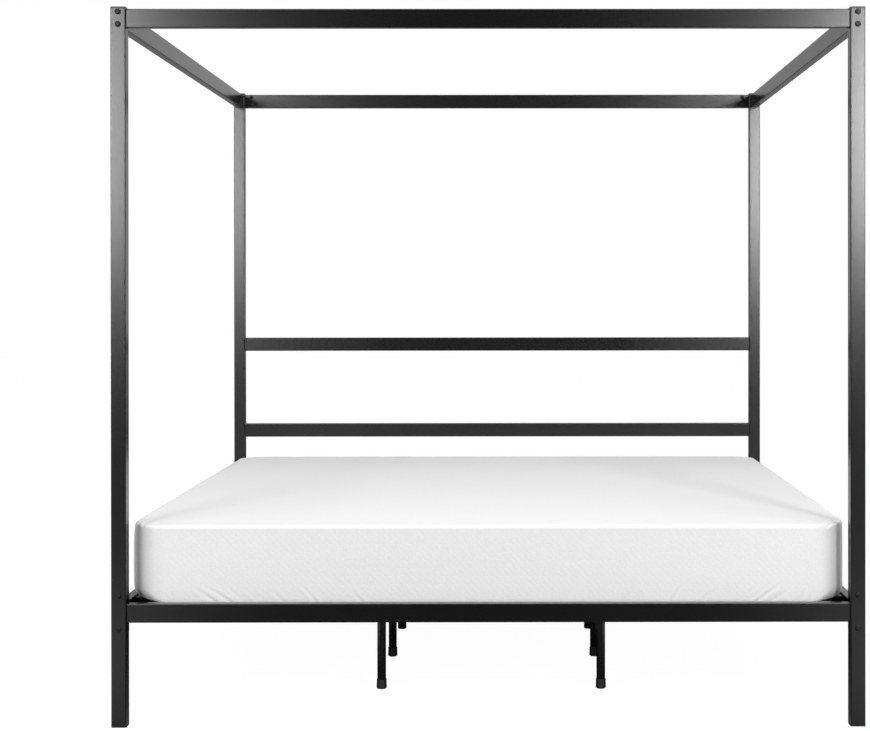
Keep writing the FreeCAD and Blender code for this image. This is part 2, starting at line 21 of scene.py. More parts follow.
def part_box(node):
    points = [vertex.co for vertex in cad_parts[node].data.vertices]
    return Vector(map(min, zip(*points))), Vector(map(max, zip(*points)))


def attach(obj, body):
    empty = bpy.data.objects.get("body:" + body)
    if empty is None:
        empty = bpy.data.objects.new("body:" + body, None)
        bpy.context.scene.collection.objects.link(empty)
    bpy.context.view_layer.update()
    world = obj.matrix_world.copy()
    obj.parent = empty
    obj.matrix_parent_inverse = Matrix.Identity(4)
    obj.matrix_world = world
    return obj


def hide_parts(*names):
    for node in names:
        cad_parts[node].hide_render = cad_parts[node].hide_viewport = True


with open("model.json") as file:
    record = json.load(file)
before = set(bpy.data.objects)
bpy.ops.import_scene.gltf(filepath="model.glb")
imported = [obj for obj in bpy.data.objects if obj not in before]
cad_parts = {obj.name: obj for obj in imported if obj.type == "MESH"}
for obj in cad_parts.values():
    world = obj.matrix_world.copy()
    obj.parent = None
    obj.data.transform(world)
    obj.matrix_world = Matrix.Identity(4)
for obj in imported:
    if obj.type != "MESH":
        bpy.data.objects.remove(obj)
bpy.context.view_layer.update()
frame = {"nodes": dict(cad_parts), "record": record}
LOG = logging.getLogger("canopy_bed")

Colour = tuple[float, float, float]
Place = tuple[float, float, float]
Pair = tuple[float, float]
Socket = bpy.types.NodeSocket

# The part of a noise texture's range that its values fill.
NOISE_RANGE: Pair = (0.3, 0.7)


class SlotName(Enum):
    """The record's material slots."""

    FRAME = "frame_steel"
    SLATS = "slat_steel"
    CAPS = "cap_plastic"
    FEET = "foot_plastic"
    BLACK_BOLTS = "black_fasteners"
    ZINC = "zinc_fasteners"
    TICKING = "mattress_cover"
    SHEET = "sheet_cloth"


class NodeGraph:
    """A material's node tree, with short ways to add and join nodes."""

    def __init__(self, name: str) -> None:
        """Make an empty node material.

        Args:
            name: the material's name.
        """
        self.material = bpy.data.materials.new(name)
        self.material.use_nodes = True
        self.tree = self.material.node_tree
        self.tree.nodes.clear()

    def add(self, kind: str, **settings: object) -> bpy.types.Node:
        """Add a node.

        Args:
            kind: the node's type name.
            settings: properties to set on the node.

        Returns:
            The new node.
        """
        node = self.tree.nodes.new(kind)
        for key, value in settings.items():
            setattr(node, key, value)
        return node

    def join(self, source: Socket, target: Socket) -> None:
        """Link one socket to another."""
        self.tree.links.new(source, target)

    def object_place(self, scale: Place = (1.0, 1.0, 1.0)) -> Socket:
        """Give the surface point in the object's own coordinates.

        Args:
            scale: how much each axis is stretched.

        Returns:
            The vector socket.
        """
        place = self.add("ShaderNodeTexCoord").outputs["Object"]
        mapping = self.add("ShaderNodeMapping")
        mapping.inputs["Scale"].default_value = scale
        self.join(place, mapping.inputs["Vector"])
        return mapping.outputs["Vector"]

    def noise(self, vector: Socket, scale: float, detail: float = 3.0, roughness: float = 0.5) -> Socket:
        """Add a noise texture.

        Args:
            vector: where the texture is read.
            scale: cells per metre.
            detail: number of finer layers.
            roughness: how strong the finer layers are.

        Returns:
            The noise value's socket.
        """
        node = self.add("ShaderNodeTexNoise")
        node.inputs["Scale"].default_value = scale
        node.inputs["Detail"].default_value = detail
        node.inputs["Roughness"].default_value = roughness
        self.join(vector, node.inputs["Vector"])
        return node.outputs["Fac"]

    def spread(self, value: Socket, low: float, high: float, out_low: float, out_high: float) -> Socket:
        """Map a value from one range to another, held at both ends.

        Args:
            value: the value to map.
            low: start of the range read.
            high: end of the range read.
            out_low: result at the start.
            out_high: result at the end.

        Returns:
            The result's socket.
        """
        node = self.add("ShaderNodeMapRange")
        ends = {"From Min": low, "From Max": high, "To Min": out_low, "To Max": out_high}
        for name, number in ends.items():
            node.inputs[name].default_value = number
        self.join(value, node.inputs["Value"])
        return node.outputs["Result"]

    def blend_colour(self, factor: Socket, first: Colour, second: Colour) -> Socket:
        """Mix two colours by a factor.

        Args:
            factor: 0 gives the first, 1 the second.
            first: the first colour.
            second: the second colour.

        Returns:
            The colour's socket.
        """
        node = self.add("ShaderNodeMix", data_type="RGBA")
        node.inputs["A"].default_value = (*first, 1.0)
        node.inputs["B"].default_value = (*second, 1.0)
        self.join(factor, node.inputs["Factor"])
        return node.outputs["Result"]

    def bump(self, height: Socket, distance: float, strength: float, below: Socket | None = None) -> Socket:
        """Raise the surface by a height texture.

        Args:
            height: the height, from 0 to 1.
            distance: how deep a height of 1 is, in metres.
            strength: how much of it is used.
            below: another bump under this one.

        Returns:
            The normal's socket.
        """
        node = self.add("ShaderNodeBump")
        node.inputs["Distance"].default_value = distance
        node.inputs["Strength"].default_value = strength
        self.join(height, node.inputs["Height"])
        if below is not None:
            self.join(below, node.inputs["Normal"])
        return node.outputs["Normal"]

    def shader(self, **sockets: object) -> bpy.types.Node:
        """Add the surface shader and the output.

        Args:
            sockets: values for the shader's sockets, spaces written as underscores.

        Returns:
            The shader node.
        """
        surface = self.add("ShaderNodeBsdfPrincipled")
        for key, value in sockets.items():
            surface.inputs[key.replace("_", " ")].default_value = value
        output = self.add("ShaderNodeOutputMaterial")
        self.join(surface.outputs["BSDF"], output.inputs["Surface"])
        return surface


@dataclass(frozen=True)
class PowderCoat:
    """Baked black powder coat: smooth and satin, with a fine orange peel."""

    name: str
    colour: Colour = (0.0009, 0.0009, 0.00095)
    cloud_gain: float = 1.5
    clouds_per_metre: float = 9.0
    roughness: float = 0.217
    roughness_changes: Pair = (-0.03, 0.05)
    peel_per_metre: float = 420.0
    peel_depth: float = 0.000006
    flecks_per_metre: float = 2600.0
    gloss_index: float = 1.58

    def material(self) -> bpy.types.Material:
        """Build the coat's material.

        Returns:
            The material.
        """
        graph = NodeGraph(self.name)
        place = graph.object_place()
        surface = graph.shader(IOR=self.gloss_index)
        cloud = graph.noise(place, self.clouds_per_metre, 4.0)
        lighter = tuple(channel * self.cloud_gain for channel in self.colour)
        graph.join(graph.blend_colour(cloud, self.colour, lighter), surface.inputs["Base Color"])
        fleck = graph.noise(place, self.flecks_per_metre, 2.0)
        low, high = (self.roughness + change for change in self.roughness_changes)
        graph.join(graph.spread(fleck, *NOISE_RANGE, low, high), surface.inputs["Roughness"])
        peel = graph.bump(graph.noise(place, self.peel_per_metre, 2.0), self.peel_depth, 1.0)
        grain = graph.bump(fleck, self.peel_depth / 3, 1.0, peel)
        graph.join(grain, surface.inputs["Normal"])
        return graph.material


@dataclass(frozen=True)
class MouldedPlastic:
    """Black moulded plastic with a fine spark-eroded grain."""

    name: str
    colour: Colour = (0.012, 0.012, 0.012)
    grain_gain: float = 1.8
    roughness: float = 0.5
    roughness_changes: Pair = (-0.08, 0.1)
    grain_per_metre: float = 1800.0
    grain_depth: float = 0.00004
    gloss_index: float = 1.47

    def material(self) -> bpy.types.Material:
        """Build the plastic's material.

        Returns:
            The material.
        """
        graph = NodeGraph(self.name)
        place = graph.object_place()
        surface = graph.shader(IOR=self.gloss_index)
        grain = graph.noise(place, self.grain_per_metre, 3.0, 0.6)
        lighter = tuple(channel * self.grain_gain for channel in self.colour)
        graph.join(graph.blend_colour(grain, self.colour, lighter), surface.inputs["Base Color"])
        low, high = (self.roughness + change for change in self.roughness_changes)
        graph.join(graph.spread(grain, *NOISE_RANGE, low, high), surface.inputs["Roughness"])
        graph.join(graph.bump(grain, self.grain_depth, 1.0), surface.inputs["Normal"])
        return graph.material


@dataclass(frozen=True)
class PlatedSteel:
    """Fastener steel, black oxide or zinc, with a faint brushed grain and dulled patches."""

    name: str
    colour: Colour
    roughness: float
    roughness_changes: Pair = (-0.07, 0.12)
    patches_per_metre: float = 160.0
    patch_loss: float = 0.6
    scratches_per_metre: float = 900.0
    scratch_depth: float = 0.00003

    def material(self) -> bpy.types.Material:
        """Build the plating's material.

        Returns:
            The material.
        """
        graph = NodeGraph(self.name)
        surface = graph.shader(Metallic=0.85)
        patches = graph.noise(graph.object_place(), self.patches_per_metre, 3.0)
        duller = tuple(channel * self.patch_loss for channel in self.colour)
        graph.join(graph.blend_colour(patches, self.colour, duller), surface.inputs["Base Color"])
        low, high = (self.roughness + change for change in self.roughness_changes)
        graph.join(graph.spread(patches, *NOISE_RANGE, low, high), surface.inputs["Roughness"])
        scratches = graph.noise(graph.object_place((1.0, 1.0, 9.0)), self.scratches_per_metre, 2.0)
        graph.join(graph.bump(scratches, self.scratch_depth, 0.8), surface.inputs["Normal"])
        return graph.material


@dataclass(frozen=True)
class JerseyCloth:
    """White cotton jersey: fine knitted wales, a little fuzz and soft shading."""

    name: str
    colour: Colour = (0.696, 0.696, 0.700)
    slub_loss: float = 0.93
    slubs_per_metre: float = 240.0
    wale_scale: float = 32.5
    knit_depth: float = 0.00035
    fuzz: float = 0.25

    def wales(self, graph: NodeGraph) -> Socket:
        """Add the knit's fine ribs, slanting across the cloth.

        Args:
            graph: the material's nodes.

        Returns:
            The rib height's socket.
        """
        ribs = graph.add("ShaderNodeTexWave", bands_direction="DIAGONAL")
        ribs.inputs["Scale"].default_value = self.wale_scale
        ribs.inputs["Distortion"].default_value = 1.5
        ribs.inputs["Detail"].default_value = 1.0
        ribs.inputs["Detail Scale"].default_value = 3.0
        graph.join(graph.object_place(), ribs.inputs["Vector"])
        return ribs.outputs["Fac"]

    def material(self) -> bpy.types.Material:
        """Build the cloth's material.

        Returns:
            The material.
        """
        graph = NodeGraph(self.name)
        surface = graph.shader(
            Roughness=0.9, Specular_IOR_Level=0.15, Sheen_Weight=self.fuzz, Sheen_Roughness=0.5
        )
        slubs = graph.noise(graph.object_place(), self.slubs_per_metre, 4.0, 0.7)
        darker = tuple(channel * self.slub_loss for channel in self.colour)
        tone = graph.spread(slubs, 0.35, 0.65, 0.0, 1.0)
        graph.join(graph.blend_colour(tone, darker, self.colour), surface.inputs["Base Color"])
        knit = graph.bump(self.wales(graph), self.knit_depth / 3, 0.6)
        lumps = graph.bump(slubs, self.knit_depth * 2.0, 0.8, knit)
        graph.join(lumps, surface.inputs["Normal"])
        return graph.material


@dataclass(frozen=True)
class TickingCloth:
    """Off-white woven mattress ticking with quilted diamonds."""

    name: str
    colour: Colour = (0.78, 0.76, 0.72)
    weave_loss: float = 0.8
    threads_per_metre: float = 700.0
    quilt_scale: float = 3.0
    quilt_turn: float = 45.0
    quilt_depth: float = 0.004
    weave_depth: float = 0.0003

    def material(self) -> bpy.types.Material:
        """Build the ticking's material.

        Returns:
            The material.
        """
        graph = NodeGraph(self.name)
        surface = graph.shader(Roughness=0.85, Specular_IOR_Level=0.2, Sheen_Weight=0.15)
        heights = []
        for direction in ("X", "Y"):
            mapping = graph.add("ShaderNodeMapping")
            mapping.inputs["Rotation"].default_value = (0.0, 0.0, math.radians(self.quilt_turn))
            graph.join(graph.add("ShaderNodeTexCoord").outputs["Object"], mapping.inputs["Vector"])
            rows = graph.add("ShaderNodeTexWave", bands_direction=direction)
            rows.inputs["Scale"].default_value = self.quilt_scale
            graph.join(mapping.outputs["Vector"], rows.inputs["Vector"])
            heights.append(graph.spread(rows.outputs["Fac"], 0.0, 0.25, 0.0, 1.0))
        both = graph.add("ShaderNodeMath", operation="MULTIPLY")
        graph.join(heights[0], both.inputs[0])
        graph.join(heights[1], both.inputs[1])
        weave = graph.noise(graph.object_place((1.0, 3.0, 1.0)), self.threads_per_metre, 2.0)
        darker = tuple(channel * self.weave_loss for channel in self.colour)
        graph.join(graph.blend_colour(weave, darker, self.colour), surface.inputs["Base Color"])
        quilting = graph.bump(both.outputs["Value"], self.quilt_depth, 0.7)
        graph.join(graph.bump(weave, self.weave_depth, 0.6, quilting), surface.inputs["Normal"])
        return graph.material


@dataclass(frozen=True)
class StudioFloor:
    """Pale seamless floor: white to look at, with only a trace of shadow; where it is mirrored, painted
    shade makes it grey, darkest across the middle and towards the front.
    """

    name: str = "pale_floor"
    glow: float = 0.975
    seen_grey: float = 0.08
    # Grey of the floor where it is mirrored: painted shade, dark in the middle and towards the front,
    # lighter at the sides.
    painted_shade_middle: float = 0.155
    mirrored_sides: float = 0.9
    middle_ends: float = 0.85
    sides_start: float = 1.3
    painted_shade_front: float = 0.25
    front_ends: float = -3.6
    bed_starts: float = -1.2

    def material(self) -> bpy.types.Material:
        """Build the floor's material.

        Returns:
            The material.
        """
        graph = NodeGraph(self.name)
        seen = graph.add("ShaderNodeBsdfDiffuse")
        seen.inputs["Color"].default_value = (self.seen_grey, self.seen_grey, self.seen_grey, 1.0)
        white = graph.add("ShaderNodeEmission")
        white.inputs["Strength"].default_value = self.glow
        both = graph.add("ShaderNodeAddShader")
        graph.join(seen.outputs["BSDF"], both.inputs[0])
        graph.join(white.outputs["Emission"], both.inputs[1])
        # Painted shade: rays that are not the camera's see a grey floor, darkest across the middle and
        # towards the front of the bed.
        mirrored = graph.add("ShaderNodeBsdfDiffuse")
        split = graph.add("ShaderNodeSeparateXYZ")
        graph.join(graph.object_place(), split.inputs["Vector"])
        sideways = graph.add("ShaderNodeMath", operation="ABSOLUTE")
        graph.join(split.outputs["X"], sideways.inputs[0])
        across = sideways.outputs["Value"]
        grey = graph.spread(
            across, self.middle_ends, self.sides_start, self.painted_shade_middle, self.mirrored_sides
        )
        fade = graph.spread(split.outputs["Y"], self.front_ends, self.bed_starts, self.painted_shade_front, 1.0)
        # dulled is the painted shade: the grey across times the darkening towards the front.
        dulled = graph.add("ShaderNodeMath", operation="MULTIPLY")
        graph.join(grey, dulled.inputs[0])
        graph.join(fade, dulled.inputs[1])
        graph.join(dulled.outputs["Value"], mirrored.inputs["Color"])
        choice = graph.add("ShaderNodeMixShader")
        graph.join(graph.add("ShaderNodeLightPath").outputs["Is Camera Ray"], choice.inputs["Fac"])
        graph.join(mirrored.outputs["BSDF"], choice.inputs[1])
        graph.join(both.outputs["Shader"], choice.inputs[2])
        graph.join(choice.outputs["Shader"], graph.add("ShaderNodeOutputMaterial").inputs["Surface"])
        return graph.material


@dataclass
class SoftBox:
    """One large soft light aimed at the bed."""

    name: str
    place: Place
    target: Place
    width: float
    height: float
    brightness: float

    def build(self) -> bpy.types.Object:
        """Make the light.

        Returns:
            The light, out of the camera's sight.
        """
        data = bpy.data.lights.new(self.name, "AREA")
        data.shape = "RECTANGLE"
        data.size = self.width
        data.size_y = self.height
        data.energy = self.brightness * math.pi * self.width * self.height
        light = bpy.data.objects.new(self.name, data)
        light.location = self.place
        aim = Vector(self.target) - Vector(self.place)
        light.rotation_euler = aim.to_track_quat("-Z", "Y").to_euler()
        light.visible_camera = False
        bpy.context.scene.collection.objects.link(light)
        return light


@dataclass
class Studio:
    """White studio: floor, surround, soft boxes and the camera."""

    floor_size: float = 60.0
    floor_drop: float = 0.0002
    surround_white: float = 1.0
    backdrop_glow: float = 0.58
    backdrop_top: Pair = (0.15, 0.45)
    backdrop_front: Pair = (0.0, 0.9)
    backdrop_middle: Pair = (-0.12, 0.12)
    backdrop_sides: Pair = (0.8, 1.08)
    ceiling_glow: float = 0.5
    ceiling_edge: Pair = (0.55, 0.85)
    camera_place: Place = (0.0767, -5.777, 1.1493)
    lens: float = 74.027586
    sensor_width: float = 36.0
    shift: Pair = (-0.1029, -0.0791)
    turn: float = 0.0040
    tilt: float = -0.0024
    roll: float = -0.0008
    boxes: list[SoftBox] = field(
        default_factory=lambda: [
            SoftBox("soft_box_left", (-2.86, -5.9, 2.1), (-2.86, 0.0, 2.1), 1.40, 1.54, 21.9),
            SoftBox("soft_box_right", (2.52, -5.9, 2.12), (2.52, 0.0, 2.12), 0.85, 1.32, 47.5),
            SoftBox("top_light", (0.0, -1.5, 4.5), (0.0, -1.0, 0.0), 4.0, 3.0, 4.1),
            SoftBox("side_box_left", (-4.7, -5.4, 2.0), (-1.0, -1.0, 0.8), 2.2, 2.2, 4.6),
            SoftBox("side_box_right", (4.6, -5.5, 2.0), (1.0, -1.0, 0.8), 2.2, 2.2, 6.0),
        ]
    )

    def build_floor(self) -> bpy.types.Object:
        """Lay the floor.

        Returns:
            The floor.
        """
        half = self.floor_size / 2
        mesh = bpy.data.meshes.new("studio_floor")
        corners = [(-half, -half), (half, -half), (half, half), (-half, half)]
        mesh.from_pydata([(x, y, -self.floor_drop) for x, y in corners], [], [(0, 1, 2, 3)])
        floor = bpy.data.objects.new("studio_floor", mesh)
        bpy.context.scene.collection.objects.link(floor)
        floor.data.materials.append(StudioFloor().material())
        return floor

    def ramp(self, tree: bpy.types.NodeTree, value: Socket, read: Pair, give: Pair) -> Socket:
        """Add a smooth ramp to the surround.

        Args:
            tree: the surround's nodes.
            value: the value read.
            read: where the ramp starts and ends.
            give: what it gives at its start and end.

        Returns:
            The ramp's socket.
        """
        node = tree.nodes.new("ShaderNodeMapRange")
        node.interpolation_type = "SMOOTHSTEP"
        for name, number in zip(("From Min", "From Max", "To Min", "To Max"), (*read, *give)):
            node.inputs[name].default_value = number
        tree.links.new(value, node.inputs["Value"])
        return node.outputs["Result"]

    def build_surround(self) -> bpy.types.World:
        """Make the surround: plain white to look at, and as light a bright backdrop with a dark front.

        Returns:
            The world.
        """
        world = bpy.data.worlds.new("studio_surround")
        bpy.context.scene.world = world
        world.use_nodes = True
        tree = world.node_tree
        tree.nodes.clear()
        place = tree.nodes.new("ShaderNodeTexCoord")
        split = tree.nodes.new("ShaderNodeSeparateXYZ")
        tree.links.new(place.outputs["Generated"], split.inputs["Vector"])
        low_band = self.ramp(tree, split.outputs["Z"], self.backdrop_top, (self.backdrop_glow, 0.0))
        behind = self.ramp(tree, split.outputs["Y"], self.backdrop_front, (0.0, 1.0))
        sideways = self.ramp(tree, split.outputs["X"], self.backdrop_middle, self.backdrop_sides)
        backdrop = tree.nodes.new("ShaderNodeMath")
        backdrop.operation = "MULTIPLY"
        tree.links.new(low_band, backdrop.inputs[0])
        tree.links.new(sideways, backdrop.inputs[1])
        overhead = self.ramp(tree, split.outputs["Z"], self.ceiling_edge, (0.0, self.ceiling_glow))
        glow = tree.nodes.new("ShaderNodeMath")
        glow.operation = "MULTIPLY_ADD"
        for index, socket in enumerate((backdrop.outputs["Value"], behind, overhead)):
            tree.links.new(socket, glow.inputs[index])
        lighting = tree.nodes.new("ShaderNodeBackground")
        lighting.inputs["Color"].default_value = (1.0, 1.0, 1.0, 1.0)
        tree.links.new(glow.outputs["Value"], lighting.inputs["Strength"])
        plain = tree.nodes.new("ShaderNodeBackground")
        plain.inputs["Color"].default_value = (1.0, 1.0, 1.0, 1.0)
        plain.inputs["Strength"].default_value = self.surround_white
        path = tree.nodes.new("ShaderNodeLightPath")
        mix = tree.nodes.new("ShaderNodeMixShader")
        tree.links.new(path.outputs["Is Camera Ray"], mix.inputs["Fac"])
        tree.links.new(lighting.outputs["Background"], mix.inputs[1])
        tree.links.new(plain.outputs["Background"], mix.inputs[2])
        output = tree.nodes.new("ShaderNodeOutputWorld")
        tree.links.new(mix.outputs["Shader"], output.inputs["Surface"])
        return world

    def build_camera(self) -> bpy.types.Object:
        """Stand the camera in front of the foot end.

        Returns:
            The camera.
        """
        data = bpy.data.cameras.new("studio_camera")
        data.sensor_width = self.sensor_width
        data.lens = self.lens
        data.shift_x, data.shift_y = self.shift
        data.clip_end = 200.0
        camera = bpy.data.objects.new("studio_camera", data)
        level = Euler((math.pi / 2 + self.tilt, 0.0, -self.turn)).to_matrix()
        aim = level @ Matrix.Rotation(self.roll, 3, "Z")
        camera.matrix_world = Matrix.Translation(self.camera_place) @ aim.to_4x4()
        bpy.context.scene.collection.objects.link(camera)
        bpy.context.scene.camera = camera
        return camera

    def build(self) -> None:
        """Build the whole studio."""
        bpy.context.scene.view_settings.view_transform = "Standard"
        self.build_floor()
        self.build_surround()
        for box in self.boxes:
            box.build()
        self.build_camera()
        LOG.info("built the studio with %d lights", len(self.boxes))


@dataclass
class SteelFrame:
    """The frame as designed, dressed slot by slot."""

    tube: PowderCoat = PowderCoat("black_powder_coat")
    slats: PowderCoat = PowderCoat("slat_powder_coat", roughness=0.32)
    caps: MouldedPlastic = MouldedPlastic("black_cap_plastic", roughness=0.42)
    feet: MouldedPlastic = MouldedPlastic("black_foot_plastic", colour=(0.006, 0.006, 0.006))
    black_bolts: PlatedSteel = PlatedSteel("black_oxide_steel", (0.03, 0.03, 0.031), 0.4)
    zinc_bolts: PlatedSteel = PlatedSteel("zinc_plated_steel", (0.5, 0.5, 0.49), 0.3)

    def finishes(self) -> dict[str, bpy.types.Material]:
        """Build the finish of each hard slot.

        Returns:
            Slot name to material.
        """
        return {
            SlotName.FRAME.value: self.tube.material(),
            SlotName.SLATS.value: self.slats.material(),
            SlotName.CAPS.value: self.caps.material(),
            SlotName.FEET.value: self.feet.material(),
            SlotName.BLACK_BOLTS.value: self.black_bolts.material(),
            SlotName.ZINC.value: self.zinc_bolts.material(),
        }

    def dress(self) -> None:
        """Give every hard node its finish."""
        finishes = self.finishes()
        for part in frame["record"]["subparts"]:
            finish = finishes.get(part["material_slot"])
            if finish is None:
                continue
            mesh = frame["nodes"][part["node"]].data
            mesh.materials.clear()
            mesh.materials.append(finish)
            LOG.info("dressed %s with %s", part["node"], finish.name)


class Wall(Enum):
    """The mattress's four walls, by the way they face."""

    FOOT = (0, -1)
    HEAD = (0, 1)
    LEFT = (-1, 0)
    RIGHT = (1, 0)


@dataclass
class RoundedPlan:
    """Rounded rectangle in plan, which can be drawn in from its edge."""

    low: Vector
    high: Vector
    corner: float
    least_corner: float = 0.012

    def spot(self, u: float, v: float, inset: float) -> Pair:
        """Find a point of the plan.

        Args:
            u: across, from -1 to 1.
            v: along, from -1 to 1.
            inset: how far the outline is drawn in.

        Returns:
            X and Y in metres.
        """
        half_x = (self.high.x - self.low.x) / 2 - inset
        half_y = (self.high.y - self.low.y) / 2 - inset
        radius = max(self.corner - inset, self.least_corner)
        x, y = u * half_x, v * half_y
        over_x = (abs(x) - (half_x - radius)) / radius
        over_y = (abs(y) - (half_y - radius)) / radius
        if over_x > 0 and over_y > 0:
            round_x = over_x * math.sqrt(1 - over_y * over_y / 2)
            round_y = over_y * math.sqrt(1 - over_x * over_x / 2)
            x = math.copysign(half_x - radius + radius * round_x, x)
            y = math.copysign(half_y - radius + radius * round_y, y)
        return x + (self.low.x + self.high.x) / 2, y + (self.low.y + self.high.y) / 2

    def past_corner(self, u: float, v: float) -> float:
        """Tell how far a place on the outline is from the nearest corner.

        Args:
            u: across, from -1 to 1.
            v: along, from -1 to 1.

        Returns:
            0 at the corner, 1 where its arc ends and beyond.
        """
        gap_x = (1 - abs(u)) * (self.high.x - self.low.x) / 2
        gap_y = (1 - abs(v)) * (self.high.y - self.low.y) / 2
        return min(1.0, max(gap_x, gap_y) / self.corner)


@dataclass(frozen=True)
class EdgeRadii:
    """How round the soft block's edges are: its top, and its lower edge at the ends, sides and corners."""

    top: float
    end_foot: float
    side_foot: float
    corner_foot: float


@dataclass
class SoftBlock:
    """Skin of a soft block: a coarse grid on top, and finer rings round its edge, walls and underside."""

    plan: RoundedPlan
    cell_across: float
    cell_along: float
    ring_cell: float
    stride: tuple[int, int]
    edges: EdgeRadii
    turn_under: float
    rim: float = 0.050
    closed: bool = False
    corner_closeness: float = 0.8
    under_coarseness: float = 2.5
    edge_steps: int = 5
    foot_steps: int = 6

    def stations(self, length: float, cell: float, stride: int) -> list[float]:
        """Spread grid lines along one side, closer at the round corners.

        Args:
            length: the side's length.
            cell: the space between lines.
            stride: how many lines make one cell of the top's grid.

        Returns:
            Places from -1 to 1.
        """
        half, corner = length / 2, self.plan.corner
        middle = stride * max(1, round((length - 2 * corner) / cell / stride))
        steps = stride * max(1, round(corner / (cell * self.corner_closeness) / stride))
        places = [-half + corner * step / steps for step in range(steps)]
        places += [-(half - corner) + (length - 2 * corner) * step / middle for step in range(middle)]
        places += [half - corner + corner * step / steps for step in range(steps + 1)]
        return [place / half for place in places]

    def rings(self, foot_radius: float) -> list[Pair]:
        """List the rings below the top as (inset, height).

        Args:
            foot_radius: radius of the lower edge at this place.

        Returns:
            Rings from the top's edge down, and under to the hem.
        """
        low_z, high_z, top = self.plan.low.z, self.plan.high.z, self.edges.top
        rim_steps = max(1, round(self.rim / self.ring_cell))
        found = [(top + self.rim * (1 - step / rim_steps), high_z) for step in range(1, rim_steps + 1)]
        for step in range(1, self.edge_steps + 1):
            angle = math.pi / 2 * step / self.edge_steps
            found.append((top * (1 - math.sin(angle)), high_z - top * (1 - math.cos(angle))))
        wall_top = high_z - top
        wall_run = low_z + foot_radius - wall_top
        wall_steps = max(2, round((high_z - low_z - top) / self.ring_cell))
        found += [(0.0, wall_top + wall_run * step / wall_steps) for step in range(1, wall_steps + 1)]
        for step in range(1, self.foot_steps + 1):
            angle = math.pi / 2 * step / self.foot_steps
            found.append((foot_radius * (1 - math.cos(angle)), low_z + foot_radius * (1 - math.sin(angle))))
        under_steps = max(2, round(self.turn_under / (self.ring_cell * self.under_coarseness)))
        for step in range(1, under_steps + 1):
            found.append((foot_radius + (self.turn_under - foot_radius) * step / under_steps, low_z))
        return found

    def ladder(self, u: float, v: float, on_end: bool) -> list[Pair]:
        """List the rings at one place of the outline, whose lower edge grows rounder to the corners.

        Args:
            u: across, from -1 to 1.
            v: along, from -1 to 1.
            on_end: whether the place is on the foot or head wall.

        Returns:
            Rings as (inset, height).
        """
        gap = self.plan.past_corner(u, v)
        easing = gap * gap * (3 - 2 * gap)
        straight = self.edges.end_foot if on_end else self.edges.side_foot
        return self.rings(self.edges.corner_foot + (straight - self.edges.corner_foot) * easing)

    def outline(self, last_u: int, last_v: int) -> list[tuple[int, int]]:
        """List the grid's places round its edge, anticlockwise seen from above.

        Args:
            last_u: number of the last line across.
            last_v: number of the last line along.

        Returns:
            Places as (column, row).
        """
        edge = [(column, 0) for column in range(last_u)]
        edge += [(last_u, row) for row in range(last_v)]
        edge += [(column, last_v) for column in range(last_u, 0, -1)]
        return edge + [(0, row) for row in range(last_v, 0, -1)]

    def mesh(self, name: str) -> bpy.types.Mesh:
        """Build the skin.

        Args:
            name: the mesh's name.

        Returns:
            The mesh, its normals outward.
        """
        plan, (step_u, step_v) = self.plan, self.stride
        us = self.stations(plan.high.x - plan.low.x, self.cell_across, step_u)
        vs = self.stations(plan.high.y - plan.low.y, self.cell_along, step_v)
        last_u, last_v = len(us) - 1, len(vs) - 1
        edge = self.outline(last_u, last_v)
        count = len(edge)
        index_of = {place: index for index, place in enumerate(edge)}
        inner = self.edges.top + self.rim
        points = [(*plan.spot(us[column], vs[row], inner), plan.high.z) for column, row in edge]
        for row in range(step_v, last_v, step_v):
            for column in range(step_u, last_u, step_u):
                index_of[(column, row)] = len(points)
                points.append((*plan.spot(us[column], vs[row], inner), plan.high.z))
        faces = [
            self.top_face(column, row, index_of)
            for row in range(0, last_v, step_v)
            for column in range(0, last_u, step_u)
        ]
        ladders = [self.ladder(us[column], vs[row], row in (0, last_v)) for column, row in edge]
        above = 0
        for level in range(len(ladders[0])):
            start = len(points)
            for (column, row), ladder in zip(edge, ladders):
                inset, height = ladder[level]
                points.append((*plan.spot(us[column], vs[row], inset), height))
            for index in range(count):
                after = (index + 1) % count
                faces.append((above + index, start + index, start + after, above + after))
            above = start
        if self.closed:
            faces.append(tuple(range(above + count - 1, above - 1, -1)))
        mesh = bpy.data.meshes.new(name)
        mesh.from_pydata(points, [], faces)
        mesh.update()
        mesh.polygons.foreach_set("use_smooth", [True] * len(mesh.polygons))
        return mesh

    def top_face(self, column: int, row: int, index_of: dict[tuple[int, int], int]) -> tuple[int, ...]:
        """List the points round one cell of the top, with every fine point along the outline.

        Args:
            column: the cell's first line across.
            row: the cell's first line along.
            index_of: point number of each place.

        Returns:
            The point numbers, anticlockwise seen from above.
        """
        step_u, step_v = self.stride
        around = [(column + step, row) for step in range(step_u)]
        around += [(column + step_u, row + step) for step in range(step_v)]
        around += [(column + step, row + step_v) for step in range(step_u, 0, -1)]
        around += [(column, row + step) for step in range(step_v, 0, -1)]
        return tuple(index_of[place] for place in around if place in index_of)


